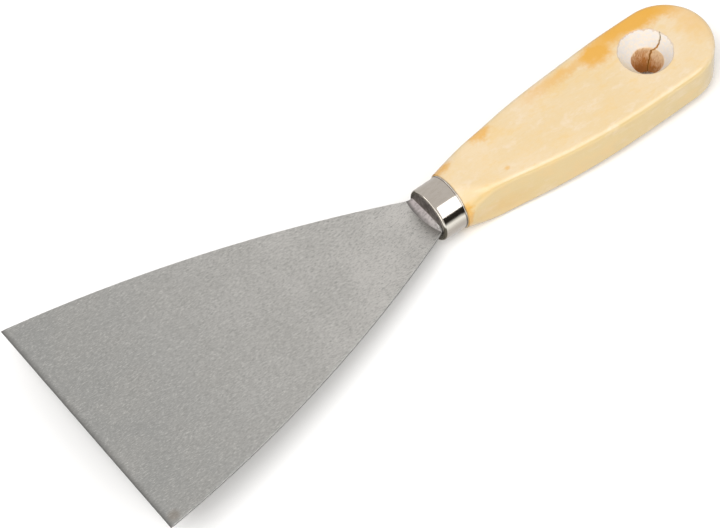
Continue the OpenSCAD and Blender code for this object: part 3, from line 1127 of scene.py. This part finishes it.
def add_floor():
    """A plain square floor under the object."""
    mesh = bpy.data.meshes.new("floor")
    corners = [(x * FLOOR_HALF, y * FLOOR_HALF, 0) for x, y in ((-1, -1), (1, -1), (1, 1), (-1, 1))]
    mesh.from_pydata(corners, [], [(0, 1, 2, 3)])
    mesh.materials.append(floor_material())
    floor = bpy.data.objects.new("floor", mesh)
    # Metal reflects the studio below the horizon instead of the floor
    floor.visible_glossy = False
    bpy.context.scene.collection.objects.link(floor)


def studio_world():
    """A plain studio: grey, lighter low on the +Y side, with a strip of light and two dark flags."""
    world = bpy.data.worlds.new("studio")
    bpy.context.scene.world = world
    world.use_nodes = True
    p = Nodes(world.node_tree)
    x, y, z = p.split(p.tree.nodes.new("ShaderNodeTexCoord").outputs["Generated"])
    side = p.fit(y, 0.10, 0.45)
    low = p.math("MULTIPLY", p.fit(z, -0.08, 0.0, 1, 0), side)
    deep = p.fit(z, -0.85, -0.30)
    colour = p.mix(low, STUDIO_GREY, p.mix(deep, STUDIO_GREY, STUDIO_CREAM))
    # Dark below the blade
    under = p.math("MULTIPLY", p.fit(x, -0.15, 0.10), p.fit(z, -0.50, -0.30, 1, 0))
    colour = p.mix(under, colour, STUDIO_BELOW)
    # Low strip of light ahead of the working edge
    strip = p.math("MULTIPLY", p.fit(x, 0.70, 0.80), p.band(z, 0.08, 0.10, 0.16))
    colour = p.mix(strip, colour, STUDIO_WHITE)
    # Dark flag low on the +Y side
    rise = p.math("ARCTAN2", z, y)
    flag = p.math("MULTIPLY", p.fit(rise, math.radians(-22), math.radians(-4)),
                  p.fit(rise, math.radians(19), math.radians(21), 1, 0))
    flag = p.math("MULTIPLY", flag, p.band(x, -0.30, 0.35, 0.45))
    colour = p.mix(p.math("MULTIPLY", flag, p.fit(y, 0.3, 0.5)), colour, STUDIO_FLAG)
    background = world.node_tree.nodes["Background"]
    p.link(colour, background.inputs["Color"])
    background.inputs["Strength"].default_value = 1.0


def light_scene():
    """The studio and two soft boxes."""
    studio_world()
    # The long box lights the side of the handle and makes the white band on the ferrule
    rise = math.radians(43.5)
    across = Vector((-0.305, 0.952 * math.cos(rise), 0.952 * math.sin(rise)))
    add_softbox("side_box", across, distance=1.0, width=0.8, height=0.87, radiance=1.7,
                up=(0, -math.sin(rise), math.cos(rise)))
    # The high box lights the upper faces from over the blade, and isn't seen in reflections
    high_box = add_softbox("high_box", toward(20, 62), distance=1.2, width=0.7, height=0.7, radiance=5.5)
    high_box.visible_glossy = False


def add_camera():
    """The photograph's viewpoint."""
    data = bpy.data.cameras.new("camera")
    data.lens = CAMERA_LENS
    data.sensor_width = 36
    data.clip_start, data.clip_end = 0.05, 20
    camera = bpy.data.objects.new("camera", data)
    back = Vector((
        math.sin(CAMERA_AZIMUTH) * math.cos(CAMERA_ELEVATION),
        -math.cos(CAMERA_AZIMUTH) * math.cos(CAMERA_ELEVATION),
        math.sin(CAMERA_ELEVATION)))
    right = Vector((0, 0, 1)).cross(back).normalized()
    rolled = right * math.cos(CAMERA_ROLL) + back.cross(right) * math.sin(CAMERA_ROLL)
    camera.matrix_world = placed(CAMERA_AIM + back * CAMERA_DISTANCE, rolled, back)
    bpy.context.scene.collection.objects.link(camera)
    bpy.context.scene.camera = camera


# ---------------------------------------------------------------- assembly

bpy.context.scene.view_settings.view_transform = "Standard"
add_camera()
add_floor()
light_scene()

handle = make_handle()
handle.data.materials.append(wood_material())
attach(handle, "grip")
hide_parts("handle")

ferrule = make_ferrule()
ferrule.data.materials.append(nickel_material())
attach(ferrule, "grip")
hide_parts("ferrule")

blade = make_blade()
blade.data.materials.append(steel_material())
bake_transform(blade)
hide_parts("blade", "neck_and_tang")
